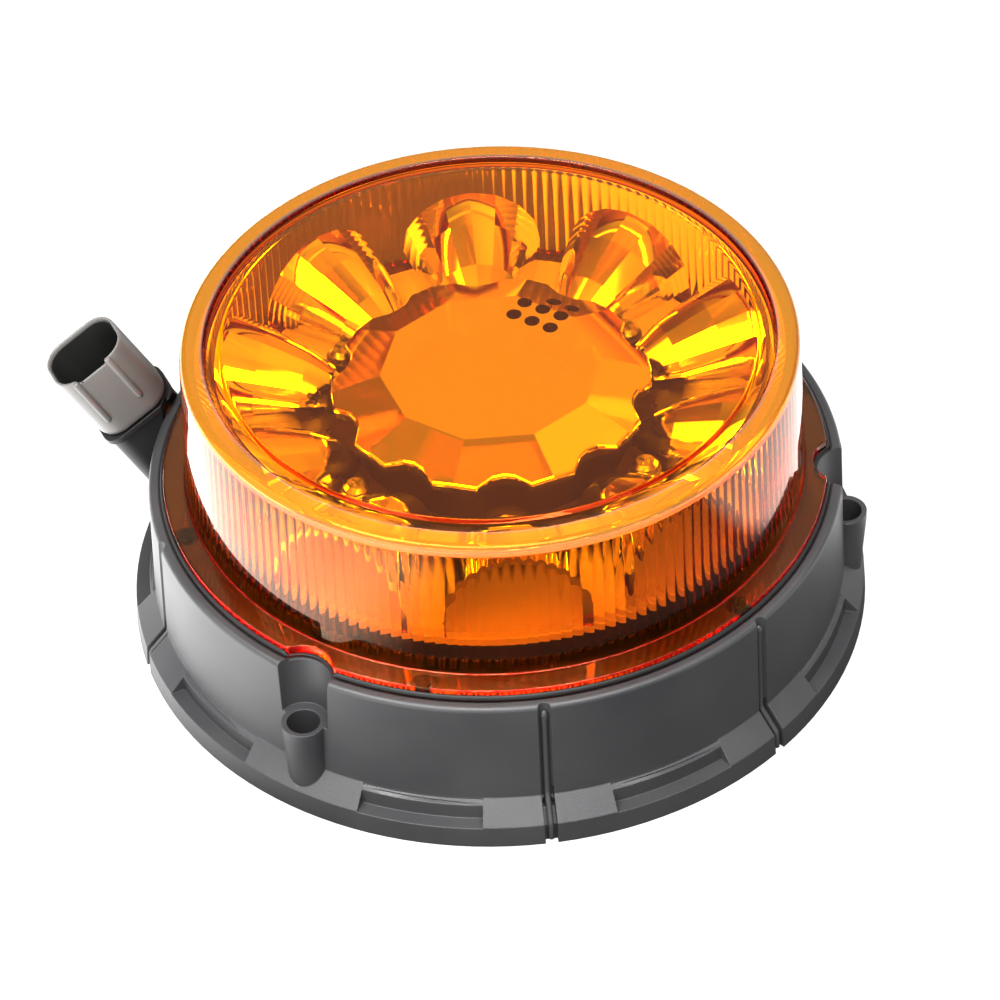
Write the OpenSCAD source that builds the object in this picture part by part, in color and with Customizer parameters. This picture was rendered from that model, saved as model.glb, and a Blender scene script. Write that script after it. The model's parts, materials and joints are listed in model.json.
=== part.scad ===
// Low amber warning beacon: bolt-down base, clear fluted lens and a
// ten-cup reflector over ten groups of LEDs, fed through a sealed two-way
// connector on a short rubber stub. Origin: centre of the mounting face.
// +Z is up and one mounting bolt lies on +X.

/* [Base] */
// Outer diameter of the mounting flange
flange_d = 156; // [152:1:160]
// Height of the flange's upright edge
flange_edge_h = 5; // [4:0.5:6]
// Diameter of the wall where it leaves the flange
wall_foot_d = 147; // [146.4:0.1:147.4]
// Height of the wall's foot above the mounting face
wall_foot_z = 9.6; // [9:0.1:10]
// Diameter of the wall at its rim
rim_d = 145.8; // [145.4:0.1:146.2]
// Height of the rim
rim_z = 34; // [34:0.1:34.4]
// Roundness of the rim's outer edge
rim_round = 1.1; // [0.6:0.1:1.3]
// Depth of the nine pockets cut into the flange's slope
pocket_depth = 3.4; // [2:0.2:3.6]
// Angle that each pocket covers
pocket_angle = 19.4; // [16:0.2:22]
// Width of the upright grooves in the wall
groove_w = 2.6; // [1.6:0.1:3.2]
// Depth of the upright grooves
groove_depth = 1.2; // [0.6:0.1:1.6]

/* [Mounting bolts] */
// Diameter of the circle of the three mounting bolts
bolt_circle_d = 147; // [146:0.5:148]
// Diameter of each bolt hole
bolt_hole_d = 6.8; // [6.4:0.1:7]
// Diameter of the boss around each bolt hole
bolt_boss_d = 9; // [8.8:0.1:9.6]
// Height of the boss that the bolt's head clamps
bolt_seat_z = 21.4; // [18:0.2:24]
// Diameter of the recess for the bolt's head, at the rim
bolt_recess_d = 12.2; // [11.6:0.1:12.6]
// Draft that narrows the recess towards its floor, on each side
bolt_recess_draft = 0.6; // [0.2:0.1:0.8]

/* [Lens] */
// Outer diameter of the lens flange
lens_flange_d = 139.4; // [138.8:0.1:139.8]
// Height of the seat that the lens flange stands on
seat_z = 33.2; // [33:0.1:33.3]
// Thickness of the lens flange
lens_flange_t = 2.9; // [2.6:0.1:3.2]
// Outer diameter of the lens wall at its foot
lens_foot_d = 130; // [129.4:0.1:130.4]
// Outer diameter of the lens wall at its top
lens_top_d = 127.6; // [127:0.1:128]
// Overall height of the lens above the mounting face
lens_top_z = 69.6; // [69:0.1:70]
// Thickness of the lens wall
lens_wall_t = 3; // [2.8:0.1:3.1]

/* [Light engine] */
// Direction of the first reflector cup
cup_first = 25; // [24:0.5:26]
// Focal length of a cup's parabola
cup_focus = 1.8; // [1.7:0.05:1.9]
// Height of a cup's axis above the reflector plate, where its upright sides end
cup_axis_h = 4.2; // [3.8:0.1:4.4]
// Distance from the lamp's axis to a cup's deepest point
cup_start_r = 31; // [30.8:0.1:31.4]
// Distance from the lamp's axis to a cup's open rim
cup_end_r = 57; // [56:0.25:57.5]
// Thickness of the cup's moulding
cup_t = 1.2; // [1:0.1:1.4]
// Height of the upper face of the LED board
led_board_z = 40; // [39.6:0.1:40.4]
// Distance from the lamp's axis to the LEDs
led_r = 36; // [35.5:0.1:36.4]

/* [Connector] */
// Direction of the lead's outlet in the base wall
outlet_az = 163; // [162:0.5:164]
// Height of the outlet above the mounting face
outlet_z = 18.6; // [18.2:0.2:19]
// Direction that the connector points
plug_az = 198; // [197:0.5:199]
// Angle of the connector above the horizontal
plug_pitch = 62; // [61:0.5:63]
// Turn of the connector about its own axis
plug_roll = 8.6; // [7:0.2:10]
// Width of the connector's shell
plug_w = 17.3; // [17.2:0.1:17.6]
// Thickness of the connector's shell
plug_h = 13; // [12.8:0.1:13.2]
// Distance from the outlet to the connector's mouth
plug_mouth_s = 37.5; // [37:0.25:38]

/* [Hidden] */
$fn = 96;
eps = 0.02;

flange_r = flange_d / 2;
wall_foot_r = wall_foot_d / 2;
rim_r = rim_d / 2;
bolt_r = bolt_circle_d / 2;
bolt_count = 3;
grid_count = 9;                       // the wall's features repeat every 40 degrees
grid_step = 360 / grid_count;
outlet_place = 4;                     // the lead's outlet takes the place of this groove
wall_lean = atan((wall_foot_r - rim_r) / (rim_z - wall_foot_z));
pocket_floor_z = flange_edge_h - 0.15;

// Tub inside the base, and the hollow between tub and wall
floor_bottom_z = 1.5;
floor_top_z = 4.5;
tub_inner_r = 59.2;
tub_outer_r = 61.8;
wall_inner_r = 70;
shelf_bottom_z = 27.5;
rib_t = 1.8;
rib_first = 10;
vent_at = [-20, -34];
vent_d = 6;

// Seal and screws of the lens
groove_inner_r = 61.9;
groove_outer_r = 63.9;
groove_floor_z = seat_z - 1.6;
lens_screw_count = 6;
lens_screw_first = 20;
lens_screw_r = 67;
lens_boss_d = 5.2;
lens_boss_depth = 3;
screw_d = 3;
screw_head_d = 5.6;
screw_head_h = 2.2;

// Board stack
post_r = 37;
post_d = 8;
post_angles = [43, 151, 223, 331];    // in the gaps between cups
insert_d = 4.4;
insert_h = 7;
spreader_t = 3;
pad_t = 0.4;
board_t = 1.6;
board_r = 57.4;
led_size = 3;
led_h = 0.9;
led_pitch = 4.2;
dome_r = 1.25;
led_board_bottom_z = led_board_z - board_t;
spreader_top_z = led_board_bottom_z - pad_t;
post_top_z = spreader_top_z - spreader_t;
reflector_plate_t = 1.5;
reflector_floor_z = led_board_z + reflector_plate_t;
screw_seat_z = 47.4;

// Cups and cap
cup_count = 10;
cup_steps = 6;
cup_len = cup_end_r - cup_start_r;
cup_gap_first = cup_first + 180 / cup_count;
hub_r = 27.4;
cap_edge_z = 53.6;
cap_edge_t = 1.4;
cap_lobe_r = 33.2;
cap_notch_r = 30.2;
cap_flat_r = 19;
cap_top_z = 60;
cap_t = 1.4;
cap_lobe_half = 8;                    // half the angle of a lobe's flat end
cap_hole_pitch = 4.4;
cap_hole_d = 3.2;
cap_hole_r = 21;
cap_hole_az = 61;

// Driver board
driver_r = 50;
driver_z = 14;
driver_post_r = 24;
driver_post_d = 7;
driver_posts = 4;
driver_post_first = 10;
driver_top_z = driver_z + board_t;
inductor_at = [8, -36];
capacitors_at = [[-10, 38], [2, 38]];
chips_at = [[30, 22, 7], [40, 4, 6], [32, -24, 6], [-14, -14, 9], [-30, 8, 5]];  // x, y, side
link_pitch = 2.54;

// Connector, measured along its own axis from the outlet
outlet_r = wall_foot_r;
shell_rear_s = 18;
shell_wall = 1.3;
shell_floor_s = 22.5;
rib_mid_x = 0.9;                      // middle of the two ribs on the shell's front face
rib_gap = 8.5;
shell_rib_len = 14;
tail_w = 13;
tail_h = 9.4;
tail_start_s = 10;
boot_w = 16.6;
boot_h = 12;
lip_w = 18;
lip_h = 13.4;
neck_d = 9;
bore_d = 6;
neck_inner_r = 55.5;
pin_gap = 5.2;
pin_d = 1.6;
pin_len = 15.5;
wire_d = 2.2;
wire_gap = 1.35;
header_az = 166;
header_r = 42;

function polar_pt(r, a, z = 0) = [r * cos(a), r * sin(a), z];
function arc_pts(cx, cy, r, a0, a1, n) =
    [for (i = [0:n]) let (a = a0 + (a1 - a0) * i / n) [cx + r * cos(a), cy + r * sin(a)]];

module around(n, first = 0)
    for (i = [0:n - 1]) rotate([0, 0, first + i * 360 / n]) children();

module at_posts()
    for (a = post_angles) rotate([0, 0, a]) translate([post_r, 0, 0]) children();

module tube(ro, ri, h)
    difference() {
        cylinder(r = ro, h = h);
        translate([0, 0, -1]) cylinder(r = ri, h = h + 2);
    }

// Rectangle with round corners, drawn from its parts so that it stays exact
module round_rect(w, h, r) {
    square([w - 2 * r, h], center = true);
    square([w, h - 2 * r], center = true);
    for (x = [-1, 1], y = [-1, 1])
        translate([x * (w / 2 - r), y * (h / 2 - r)]) circle(r = r, $fn = 32);
}

module bar(w, h, r, s0, s1)
    translate([0, 0, s0]) linear_extrude(s1 - s0) round_rect(w, h, r);

// ---------- base ----------

base_outline = concat(
    [[0, floor_bottom_z], [tub_outer_r - 0.6, floor_bottom_z], [tub_outer_r, shelf_bottom_z],
     [wall_inner_r - 0.4, shelf_bottom_z], [wall_inner_r + 0.6, 0],
     [flange_r, 0], [flange_r - 0.3, flange_edge_h], [wall_foot_r, wall_foot_z]],
    arc_pts(rim_r - rim_round, rim_z - rim_round, rim_round, 0, 90, 6),
    [[70.9, rim_z], [70.3, rim_z - 0.5], [70.3, seat_z], [tub_inner_r + 0.4, seat_z],
     [tub_inner_r, floor_top_z], [0, floor_top_z]]);

// Tower that keeps the head recess apart from the inside of the lamp
module bolt_tower()
    intersection() {
        translate([bolt_r, 0, 0]) cylinder(d = bolt_recess_d + 4, h = seat_z);
        cylinder(r1 = wall_foot_r, r2 = rim_r, h = seat_z);
    }

// Boss under the bolt's head. Its foot stands further in, so that it ends on the flange's slope
module bolt_boss()
    hull() {
        translate([bolt_r, 0, bolt_seat_z - 2]) cylinder(d = bolt_boss_d, h = 2);
        translate([bolt_r - 1.2, 0, 1]) cylinder(d = bolt_boss_d - 0.4, h = 1);
    }

module bolt_recess() {
    translate([bolt_r, 0, bolt_seat_z])
        cylinder(d1 = bolt_recess_d - 2 * bolt_recess_draft, d2 = bolt_recess_d,
                 h = rim_z - bolt_seat_z + eps);
    translate([bolt_r, 0, rim_z - eps]) cylinder(d = bolt_recess_d, h = 4);
    translate([bolt_r, 0, -1]) cylinder(d = bolt_hole_d, h = bolt_seat_z + 2);
}

// Flat-floored pocket in the flange's slope
module flange_pocket()
    rotate([0, 0, -pocket_angle / 2])
        rotate_extrude(angle = pocket_angle)
            polygon([[flange_r - pocket_depth, pocket_floor_z], [flange_r + 2, pocket_floor_z],
                     [flange_r + 2, wall_foot_z + 4], [wall_foot_r + 0.05, wall_foot_z + 4],
                     [wall_foot_r + 0.05, wall_foot_z - 0.4],
                     [flange_r - pocket_depth, wall_foot_z - 0.8]]);

// Upright groove that runs down the wall and over the flange
module wall_groove() {
    translate([wall_foot_r + groove_w / 2 - groove_depth, 0, wall_foot_z]) rotate([0, -wall_lean, 0])
        translate([0, 0, -3]) cylinder(d = groove_w, h = rim_z);
    rotate([90, 0, 0]) linear_extrude(groove_w, center = true)
        polygon([[wall_foot_r - groove_depth, wall_foot_z - groove_depth],
                 [flange_r - groove_depth - 0.3, flange_edge_h - groove_depth],
                 [flange_r - groove_depth, -1], [flange_r + 2, -1], [flange_r + 2, wall_foot_z + 3],
                 [wall_foot_r + 1, wall_foot_z + 3], [wall_foot_r - groove_depth, wall_foot_z + 1]]);
}

module posts_solid() {
    at_posts() translate([0, 0, floor_top_z - eps])
        cylinder(d = post_d, h = post_top_z - floor_top_z + eps);
    around(driver_posts, driver_post_first)
        translate([driver_post_r, 0, floor_top_z - eps])
            cylinder(d = driver_post_d, h = driver_z - floor_top_z + eps);
}

module posts_holes() {
    at_posts() translate([0, 0, post_top_z - 14]) cylinder(d = screw_d + 0.2, h = 16);
    at_posts() translate([0, 0, post_top_z - insert_h]) cylinder(d = insert_d, h = insert_h + 1);
    around(driver_posts, driver_post_first)
        translate([driver_post_r, 0, driver_z - 7]) cylinder(d = screw_d, h = 8);
}

module base_housing()
    color([0.16, 0.16, 0.17])
    difference() {
        union() {
            rotate_extrude($fn = 180) polygon(base_outline);
            around(bolt_count) bolt_tower();
            around(bolt_count) bolt_boss();
            around(grid_count, rib_first)
                translate([tub_outer_r - 1, -rib_t / 2, floor_bottom_z])
                    cube([wall_inner_r - tub_outer_r + 1.6, rib_t, shelf_bottom_z - 1]);
            posts_solid();
        }
        around(bolt_count) bolt_recess();
        around(grid_count, grid_step / 2) flange_pocket();
        for (k = [0:grid_count - 1])
            if (k % bolt_count != 0 && k != outlet_place)
                rotate([0, 0, k * grid_step]) wall_groove();
        translate([0, 0, groove_floor_z]) tube(groove_outer_r, groove_inner_r, 4);
        around(lens_screw_count, lens_screw_first) translate([lens_screw_r, 0, 0]) {
            translate([0, 0, seat_z - lens_boss_depth - 0.2])
                cylinder(d = lens_boss_d + 0.4, h = lens_boss_depth + 1);
            translate([0, 0, shelf_bottom_z - 1]) cylinder(d = screw_d + 0.4, h = 6);
            translate([0, 0, -1]) cylinder(d = screw_head_d + 1, h = shelf_bottom_z + 1);
        }
        rotate([0, 0, outlet_az]) translate([neck_inner_r, 0, outlet_z]) rotate([0, 90, 0])
            cylinder(d = neck_d, h = 30);
        translate([vent_at[0], vent_at[1], -1]) cylinder(d = vent_d, h = 8);
        posts_holes();
    }

module vent_plug()
    color([0.1, 0.1, 0.1])
    translate(vent_at) {
        translate([0, 0, 0.3]) cylinder(d = vent_d + 3, h = floor_bottom_z - 0.3);
        translate([0, 0, floor_bottom_z]) cylinder(d = vent_d, h = floor_top_z - floor_bottom_z);
        translate([0, 0, floor_top_z]) cylinder(d = vent_d + 2, h = 1.4);
    }

// ---------- lens ----------

lens_outer = concat(
    [[lens_flange_d / 2, seat_z], [lens_flange_d / 2, seat_z + lens_flange_t - 0.4],
     [lens_flange_d / 2 - 0.4, seat_z + lens_flange_t],
     [lens_foot_d / 2 + 0.3, seat_z + lens_flange_t],
     [lens_foot_d / 2, seat_z + lens_flange_t + 0.4]],
    arc_pts(lens_top_d / 2 - 1.8, lens_top_z - 2.2, 1.8, 0, 80, 6),
    [[59, lens_top_z], [58.7, lens_top_z - 0.9], [55.5, lens_top_z - 0.9],
     [55.2, lens_top_z - 0.3], [0, lens_top_z - 0.3]]);
lens_inner = [[0, lens_top_z - 2.8], [57.6, lens_top_z - 2.8],
              [lens_top_d / 2 - lens_wall_t, lens_top_z - 4.2],
              [lens_foot_d / 2 - lens_wall_t - 0.3, seat_z]];

module lens()
    color([1, 0.5, 0.05, 0.6])
    difference() {
        union() {
            rotate_extrude($fn = 180) polygon(concat(lens_outer, lens_inner));
            around(lens_screw_count, lens_screw_first)
                translate([lens_screw_r, 0, seat_z - lens_boss_depth])
                    cylinder(d = lens_boss_d, h = lens_boss_depth + 1);
        }
        around(bolt_count) translate([bolt_r, 0, seat_z - 1])
            cylinder(d = bolt_recess_d + 1.6, h = lens_flange_t + 3);
        around(lens_screw_count, lens_screw_first)
            translate([lens_screw_r, 0, seat_z - lens_boss_depth - 1])
                cylinder(d = screw_d, h = lens_boss_depth + 2.6);
    }

module lens_gasket()
    color([0.05, 0.05, 0.05])
    translate([0, 0, groove_floor_z])
        rotate_extrude($fn = 180)
            polygon([[groove_inner_r + 0.4, 0], [groove_outer_r - 0.4, 0], [groove_outer_r, 0.4],
                     [groove_outer_r, 1.2], [groove_outer_r - 0.4, 1.6],
                     [groove_inner_r + 0.4, 1.6], [groove_inner_r, 1.2], [groove_inner_r, 0.4]]);

// Pan-head screw, head upwards, that passes down from its seat at z = 0
module pan_screw(len, d = screw_d, head_d = screw_head_d, head_h = screw_head_h)
    difference() {
        union() {
            translate([0, 0, -len]) cylinder(d = d, h = len + eps, $fn = 32);
            cylinder(d = head_d, h = head_h * 0.55, $fn = 48);
            translate([0, 0, head_h * 0.55])
                cylinder(d1 = head_d, d2 = head_d * 0.7, h = head_h * 0.45, $fn = 48);
        }
        for (a = [0, 90]) rotate([0, 0, a])
            translate([-head_d * 0.3, -0.4, head_h * 0.45]) cube([head_d * 0.6, 0.8, head_h]);
    }

module lens_screws()
    color([0.75, 0.75, 0.77])
    around(lens_screw_count, lens_screw_first)
        translate([lens_screw_r, 0, shelf_bottom_z]) rotate([180, 0, 0])
            pan_screw(seat_z + 1.2 - shelf_bottom_z);

// ---------- light engine ----------

module heat_spreader()
    color([0.08, 0.08, 0.09])
    difference() {
        translate([0, 0, post_top_z]) cylinder(r = board_r, h = spreader_t);
        at_posts() translate([0, 0, post_top_z - 1]) cylinder(d = screw_d + 0.4, h = 6);
        translate([0, 0, post_top_z - 1]) cylinder(r = 6, h = 6);
    }

module thermal_pad()
    color([0.75, 0.77, 0.8])
    difference() {
        translate([0, 0, spreader_top_z]) cylinder(r = board_r - 1, h = pad_t);
        at_posts() translate([0, 0, spreader_top_z - 1]) cylinder(d = screw_d + 2, h = 3);
        translate([0, 0, spreader_top_z - 1]) cylinder(r = 7, h = 3);
    }

module led_board()
    color([0.85, 0.84, 0.8])
    difference() {
        translate([0, 0, led_board_bottom_z]) cylinder(r = board_r, h = board_t);
        at_posts() translate([0, 0, led_board_bottom_z - 1]) cylinder(d = screw_d + 0.4, h = 4);
        at_link_pins() translate([0, 0, led_board_bottom_z - 1]) cylinder(d = 1, h = 4, $fn = 24);
    }

module at_link_pins()
    for (x = [-0.5, 0.5], y = [-1.5:1:1.5]) translate([x * link_pitch, y * link_pitch, 0]) children();

module at_leds()
    around(cup_count, cup_first)
        for (k = [-1:1]) translate([led_r, k * led_pitch, led_board_z]) children();

module leds()
    color([0.95, 0.9, 0.7])
    at_leds() translate([-led_size / 2, -led_size / 2, 0]) cube([led_size, led_size, led_h]);

module led_domes()
    color([1, 0.85, 0.4, 0.7])
    at_leds() translate([0, 0, led_h])
        intersection() {
            sphere(r = dome_r, $fn = 32);
            translate([-dome_r, -dome_r, 0]) cube([2 * dome_r, 2 * dome_r, dome_r]);
        }

function cup_r(t) = sqrt(4 * cup_focus * t);
cup_inner = [for (i = [1:cup_steps]) let (t = cup_len * pow(i / cup_steps, 2)) [cup_r(t), t]];
cup_profile = concat([[0, -cup_t]], [for (p = cup_inner) [p[0] + cup_t, p[1]]],
                     [for (i = [cup_steps - 1:-1:0]) cup_inner[i]], [[0, 0]]);

// Half of a paraboloid shell that opens outwards over the LEDs, on upright sides of the same plan
module cup() {
    translate([cup_start_r, 0, reflector_floor_z + cup_axis_h]) intersection() {
        rotate([0, 90, 0]) rotate_extrude() polygon(cup_profile);
        translate([-5, -20, 0]) cube([cup_len + 10, 40, 30]);
    }
    translate([cup_start_r, 0, reflector_floor_z]) linear_extrude(cup_axis_h)
        for (m = [0, 1]) mirror([0, m]) polygon([for (p = cup_profile) [p[1], p[0]]]);
}

module reflector_cups()
    color([0.95, 0.8, 0.5])
    around(cup_count, cup_first) cup();

module reflector_plate()
    color([0.9, 0.75, 0.45])
    difference() {
        union() {
            translate([0, 0, led_board_z]) cylinder(r = cup_end_r, h = reflector_plate_t);
            translate([0, 0, led_board_z]) cylinder(r = hub_r, h = cap_edge_z - led_board_z - 2);
            at_posts() translate([0, 0, led_board_z]) cylinder(d = 7, h = screw_seat_z - led_board_z);
        }
        around(cup_count, cup_first)
            translate([led_r - 2.2, -led_pitch - 2.2, led_board_z - 1])
                cube([4.4, 2 * led_pitch + 4.4, 4]);
        translate([0, 0, led_board_z - 1]) cylinder(r = hub_r - 1.6, h = 20);
        at_posts() translate([0, 0, led_board_z - 1]) cylinder(d = screw_d + 0.4, h = 12);
    }

cap_edge = [for (i = [0:cup_count - 1]) let (g = cup_gap_first + i * 360 / cup_count)
            each [polar_pt(cap_lobe_r, g - cap_lobe_half), polar_pt(cap_lobe_r, g + cap_lobe_half),
                  polar_pt(cap_notch_r, g + 180 / cup_count)]];

module cap_holes()
    rotate([0, 0, cap_hole_az]) translate([cap_hole_r, 0, cap_edge_z])
        for (i = [-1:1], j = [-1:1])
            if (!(i == 1 && j == 1))
                translate([i * cap_hole_pitch, j * cap_hole_pitch, -2])
                    cylinder(d = cap_hole_d, h = 12, $fn = 32);

module reflector_cap()
    color([0.95, 0.8, 0.45])
    difference() {
        union() {
            translate([0, 0, cap_edge_z]) linear_extrude(cap_edge_t)
                polygon([for (p = cap_edge) [p[0], p[1]]]);
            translate([0, 0, cap_edge_z + cap_edge_t - eps])
                cylinder(r1 = cap_notch_r - 0.2, r2 = cap_flat_r,
                         h = cap_top_z - cap_edge_z - cap_edge_t);
            translate([0, 0, reflector_floor_z])
                cylinder(r = hub_r + 1.6, h = cap_edge_z - reflector_floor_z + eps);
        }
        translate([0, 0, reflector_floor_z - 1])
            cylinder(r = hub_r, h = cap_edge_z - reflector_floor_z + 1);
        translate([0, 0, cap_edge_z - eps])
            cylinder(r1 = hub_r, r2 = cap_flat_r - 2, h = cap_top_z - cap_edge_z - cap_t);
        cap_holes();
    }

module reflector_screws()
    color([0.85, 0.85, 0.87])
    at_posts() translate([0, 0, screw_seat_z])
        pan_screw(screw_seat_z - post_top_z + insert_h - 0.5);

module post_inserts()
    color([0.85, 0.65, 0.25])
    at_posts() translate([0, 0, post_top_z - insert_h])
        tube(insert_d / 2, screw_d / 2, insert_h);

// ---------- driver ----------

module driver_board()
    color([0.05, 0.25, 0.12])
    difference() {
        translate([0, 0, driver_z]) cylinder(r = driver_r, h = board_t);
        at_posts() translate([0, 0, driver_z - 1]) cylinder(d = post_d + 1, h = 4);
        around(driver_posts, driver_post_first)
            translate([driver_post_r, 0, driver_z - 1]) cylinder(d = screw_d + 0.4, h = 4);
    }

module driver_screws()
    color([0.8, 0.8, 0.82])
    around(driver_posts, driver_post_first)
        translate([driver_post_r, 0, driver_z + board_t]) pan_screw(board_t + 5.5);

module inductor()
    color([0.2, 0.2, 0.22])
    translate([inductor_at[0], inductor_at[1], driver_top_z]) {
        translate([-6, -6, 0]) cube([12, 12, 1]);
        translate([0, 0, 1]) cylinder(d = 11, h = 5);
    }

module capacitors()
    color([0.15, 0.15, 0.2])
    for (p = capacitors_at) translate([p[0], p[1], driver_top_z]) {
        cylinder(d = 9, h = 11);
        translate([0, 0, 11]) cylinder(d = 8.2, h = 0.6);
    }

module driver_chips()
    color([0.07, 0.07, 0.08])
    for (p = chips_at)
        translate([p[0] - p[2] / 2, p[1] - p[2] / 2, driver_top_z]) cube([p[2], p[2], 1.5]);

module input_header()
    color([0.9, 0.88, 0.8])
    rotate([0, 0, header_az]) translate([header_r, 0, driver_top_z]) difference() {
        translate([-4, -5, 0]) cube([8, 10, 7]);
        for (y = [-1, 1]) translate([1, y * 2.5, 4]) rotate([0, 90, 0])
            cylinder(d = wire_d + 0.2, h = 6, $fn = 32);
    }

module link_header()
    color([0.06, 0.06, 0.06])
    union() {
        translate([-2.6, -5.2, driver_top_z]) cube([5.2, 10.4, led_board_bottom_z - driver_top_z]);
        at_link_pins() translate([0, 0, led_board_bottom_z - eps])
            cylinder(d = 0.9, h = board_t + 1, $fn = 24);
    }

// ---------- connector ----------

outlet_pt = polar_pt(outlet_r, outlet_az, outlet_z);
plug_dir = [cos(plug_pitch) * cos(plug_az), cos(plug_pitch) * sin(plug_az), sin(plug_pitch)];

module plug_frame()
    translate(outlet_pt) rotate([0, 0, plug_az]) rotate([0, 90 - plug_pitch, 0])
        rotate([0, 0, plug_roll]) children();

// The base's outer wall with the clearance that the stub and the shell keep to it
module wall_clearance()
    cylinder(r1 = wall_foot_r + 0.4, r2 = rim_r + 0.1, h = rim_z + 4);

module radial_frame()
    translate(outlet_pt) rotate([0, 0, outlet_az]) rotate([0, 90, 0]) children();

// Rubber stub: a round neck through both walls of the base, then the body
module connector_boot()
    color([0.06, 0.06, 0.06])
    difference() {
        union() {
            radial_frame() translate([0, 0, neck_inner_r - outlet_r])
                cylinder(d = neck_d, h = outlet_r - neck_inner_r + 2);
            radial_frame() translate([0, 0, neck_inner_r - outlet_r])
                cylinder(d = neck_d + 3, h = 2.6);
            difference() {
                plug_frame() union() {
                    bar(boot_w, boot_h, 3.4, -4, shell_rear_s);
                    bar(lip_w, lip_h, 3.6, shell_rear_s - 1.3, shell_rear_s);
                }
                wall_clearance();
            }
        }
        radial_frame() translate([0, 0, neck_inner_r - outlet_r - 1])
            cylinder(d = bore_d, h = outlet_r - neck_inner_r + 1);
        plug_frame() translate([0, 0, -1]) cylinder(d = bore_d, h = tail_start_s + 2);
        plug_frame() bar(tail_w, tail_h, 2.4, tail_start_s, shell_rear_s + 1);
    }

// Rear seal between the stub and the back of the shell
module connector_seal()
    color([0.75, 0.35, 0.1])
    plug_frame() difference() {
        bar(tail_w, tail_h, 2.4, tail_start_s, tail_start_s + 2);
        for (x = [-1, 1]) translate([x * wire_gap, 0, tail_start_s - 1])
            cylinder(d = wire_d, h = 4, $fn = 32);
    }

module connector_shell()
    color([0.66, 0.64, 0.61])
    difference() {
        plug_frame() connector_shell_body();
        wall_clearance();
    }

module connector_shell_body()
    difference() {
        union() {
            bar(plug_w, plug_h, 3, shell_rear_s, plug_mouth_s);
            bar(tail_w, tail_h, 2.4, tail_start_s + 2, shell_rear_s + 1);
            for (x = [-0.5, 0.5])
                translate([rib_mid_x + x * rib_gap - 0.6, plug_h / 2 - 1, plug_mouth_s - shell_rib_len])
                    cube([1.2, 1.7, shell_rib_len - 0.3]);
            translate([rib_mid_x - rib_gap / 2, plug_h / 2 - 1, plug_mouth_s - shell_rib_len])
                cube([rib_gap, 1.3, shell_rib_len - 0.5]);
        }
        difference() {
            bar(plug_w - 2 * shell_wall, plug_h - 2 * shell_wall, 1.9,
                shell_floor_s, plug_mouth_s + 1);
            for (x = [-5.4, 5.4])
                translate([x - 0.6, plug_h / 2 - shell_wall - 1, shell_floor_s - 1])
                    cube([1.2, 2, plug_mouth_s - shell_floor_s - 1]);
        }
        for (x = [-1, 1]) {
            translate([x * pin_gap / 2, 0, tail_start_s + 4]) cylinder(d = pin_d, h = 12, $fn = 32);
            translate([x * wire_gap, 0, tail_start_s]) cylinder(d = wire_d, h = 3, $fn = 32);
        }
        bar(pin_gap + pin_d, wire_d, 1, tail_start_s + 3 - eps, tail_start_s + 4 + eps);
    }

module connector_wedge()
    color([0.3, 0.3, 0.3])
    plug_frame() difference() {
        bar(11, 5.4, 1.2, shell_floor_s, shell_floor_s + 4);
        for (x = [-1, 1]) translate([x * pin_gap / 2, 0, shell_floor_s - 1])
            cylinder(d = pin_d, h = 6, $fn = 32);
    }

module connector_pins()
    color([0.8, 0.78, 0.72])
    plug_frame() for (x = [-1, 1]) translate([x * pin_gap / 2, 0, tail_start_s + 4]) {
        cylinder(d = pin_d, h = pin_len, $fn = 32);
        translate([0, 0, pin_len]) cylinder(d1 = pin_d, d2 = pin_d / 2, h = 1, $fn = 32);
    }

// Leads from the header, through the neck, to the back of the connector.
// side is 1 or -1. Each stretch is straight and the corners are eased.
function unit(v) = v / norm(v);
plug_side = let (h0 = [-sin(plug_az), cos(plug_az), 0],
                 x0 = cross(h0, plug_dir)) unit(x0 * cos(plug_roll) + h0 * sin(plug_roll));
neck_side = polar_pt(1, outlet_az + 90);
out_dir = polar_pt(1, outlet_az);

function lead_route(side) = [
    polar_pt(header_r + 1.2, header_az, driver_top_z + 4) + polar_pt(side * 2.5, header_az + 90),
    polar_pt(header_r + 5, header_az, driver_top_z + 4) + polar_pt(side * 2.5, header_az + 90),
    outlet_pt + out_dir * (neck_inner_r - outlet_r - 3) + neck_side * side * wire_gap,
    outlet_pt + out_dir * (neck_inner_r - outlet_r) + neck_side * side * wire_gap,
    outlet_pt - out_dir * 1.5 + neck_side * side * wire_gap,
    outlet_pt + plug_dir * 1.5 + plug_side * side * wire_gap,
    outlet_pt + plug_dir * (tail_start_s + 3) + plug_side * side * wire_gap];

// Two rounds of corner cutting, which keep both ends where they are
function ease(p) = let (n = len(p)) concat(
    [p[0]],
    [for (i = [0:n - 2]) each [p[i] * 0.75 + p[i + 1] * 0.25, p[i] * 0.25 + p[i + 1] * 0.75]],
    [p[n - 1]]);

function tangent(p, i) =
    unit(p[min(i + 1, len(p) - 1)] - p[max(i - 1, 0)]);

module sweep(p, r, sides = 8) {
    rings = [for (i = [0:len(p) - 1])
        let (t = tangent(p, i), a = unit(cross(t, [0.3, 0.2, 1])), b = cross(t, a))
        for (k = [0:sides - 1]) p[i] + r * (a * cos(k * 360 / sides) + b * sin(k * 360 / sides))];
    last = (len(p) - 1) * sides;
    polyhedron(rings, concat(
        [[for (k = [0:sides - 1]) k]],
        [for (i = [0:len(p) - 2], k = [0:sides - 1])
            let (k2 = (k + 1) % sides)
            [i * sides + k, (i + 1) * sides + k, (i + 1) * sides + k2, i * sides + k2]],
        [[for (k = [sides - 1:-1:0]) last + k]]));
}

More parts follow.
